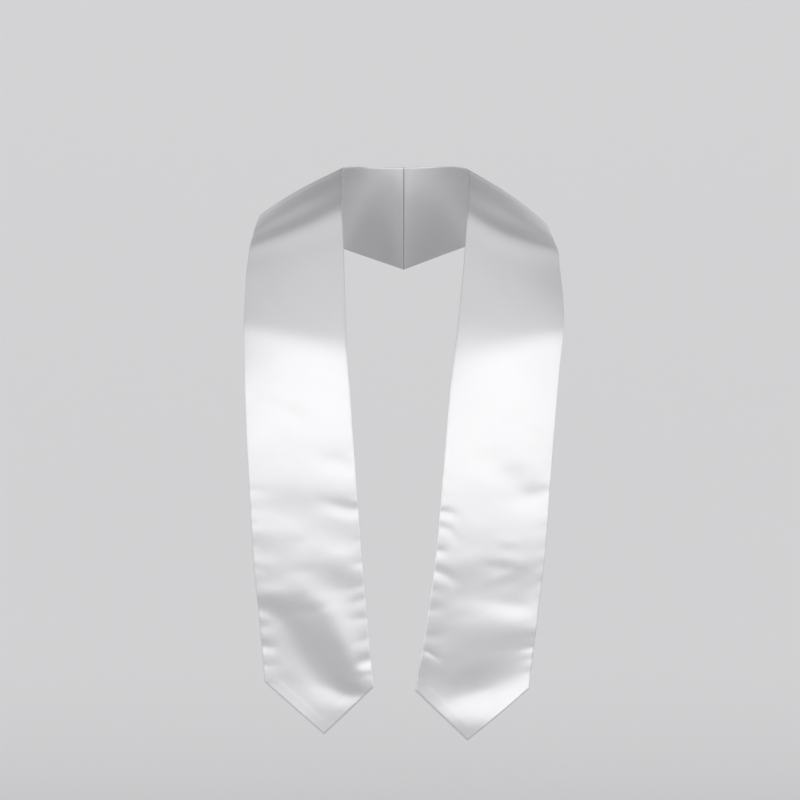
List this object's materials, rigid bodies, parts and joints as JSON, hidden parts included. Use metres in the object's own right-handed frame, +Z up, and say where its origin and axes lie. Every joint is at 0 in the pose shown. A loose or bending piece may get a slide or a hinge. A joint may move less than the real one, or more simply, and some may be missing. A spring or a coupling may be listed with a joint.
{
  "type": "graduation stole",
  "caption": "Plain white satin graduation stole as worn: two bands joined in a V at the nape, over the shoulders and down the chest to pointed ends.",
  "frame": {"origin": "the nape: the top of the centre back seam, where the two panels meet at the neckline, in the middle of the cloth's thickness", "axes": "+Z up, +X to the wearer's left, and the wearer faces -Y, so the two panels hang down the -Y side"},
  "size_m": [0.3428, 0.2366, 0.6181],
  "materials": {
    "satin": "white polyester satin with a soft sheen, doubled, with turned and pressed edges"
  },
  "bodies": {
    "root": {"right_panel": "satin", "left_panel": "satin"}
  },
  "joints": []
}
